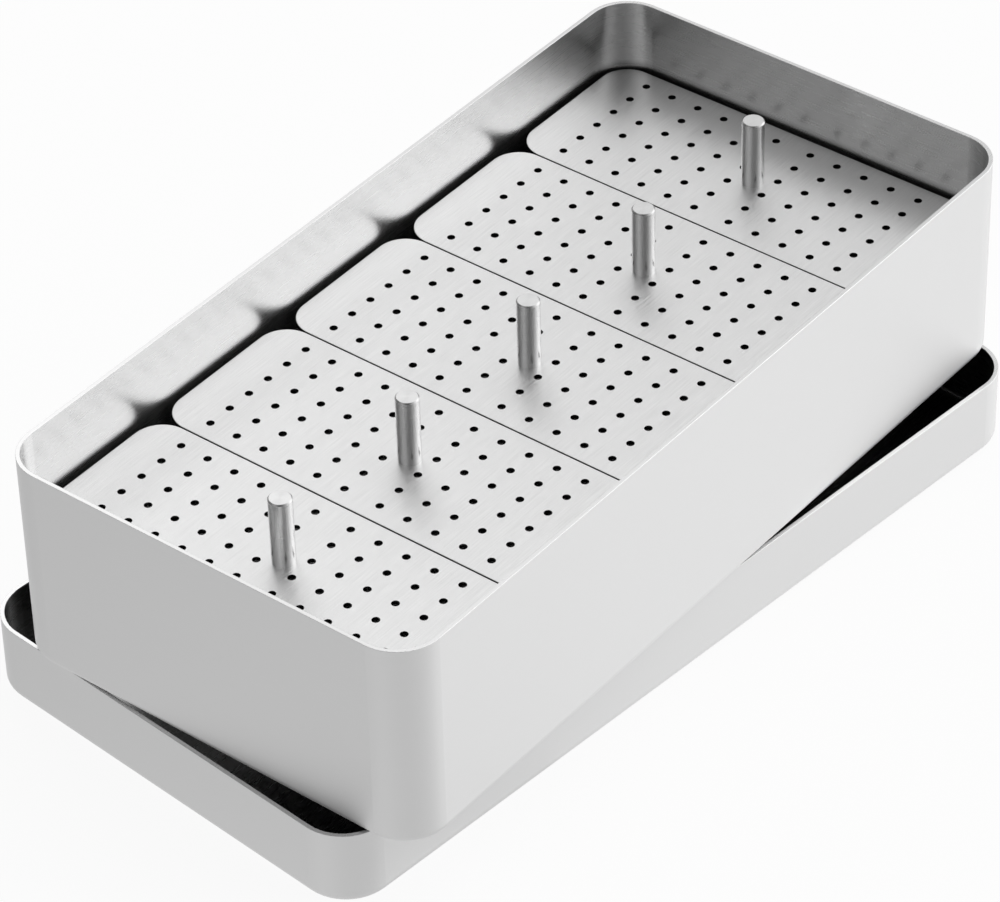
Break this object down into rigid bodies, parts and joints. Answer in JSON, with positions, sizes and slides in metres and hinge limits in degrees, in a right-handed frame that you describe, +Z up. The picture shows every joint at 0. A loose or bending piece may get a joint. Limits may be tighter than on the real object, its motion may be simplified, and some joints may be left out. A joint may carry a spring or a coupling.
{
  "type": "endodontic box",
  "caption": "Open steel tray with lift-out perforated inserts that hold root canal files upright, standing askew on its own upturned lid.",
  "frame": {"origin": "the middle of the upturned lid's underside, on the surface that it lies on", "axes": "+X along the box towards the far end, +Y across the box away from the viewer, +Z up"},
  "size_m": [0.1814, 0.1052, 0.0578],
  "materials": {
    "brushed_sheet": "fine brushed stainless sheet",
    "turned_steel": "turned stainless bar"
  },
  "bodies": {
    "root": {"box": "brushed_sheet", "lid": "brushed_sheet", "insert_1_plate": "brushed_sheet", "insert_2_plate": "brushed_sheet", "insert_3_plate": "brushed_sheet", "insert_4_plate": "brushed_sheet", "insert_5_plate": "brushed_sheet", "insert_1_pin": "turned_steel", "insert_1_screw": "turned_steel", "insert_1_leg_1": "turned_steel", "insert_1_leg_2": "turned_steel", "insert_1_leg_3": "turned_steel", "insert_1_leg_4": "turned_steel", "insert_2_pin": "turned_steel", "insert_2_screw": "turned_steel", "insert_2_leg_1": "turned_steel", "insert_2_leg_2": "turned_steel", "insert_2_leg_3": "turned_steel", "insert_2_leg_4": "turned_steel", "insert_3_pin": "turned_steel", "insert_3_screw": "turned_steel", "insert_3_leg_1": "turned_steel", "insert_3_leg_2": "turned_steel", "insert_3_leg_3": "turned_steel", "insert_3_leg_4": "turned_steel", "insert_4_pin": "turned_steel", "insert_4_screw": "turned_steel", "insert_4_leg_1": "turned_steel", "insert_4_leg_2": "turned_steel", "insert_4_leg_3": "turned_steel", "insert_4_leg_4": "turned_steel", "insert_5_pin": "turned_steel", "insert_5_screw": "turned_steel", "insert_5_leg_1": "turned_steel", "insert_5_leg_2": "turned_steel", "insert_5_leg_3": "turned_steel", "insert_5_leg_4": "turned_steel"}
  },
  "joints": []
}
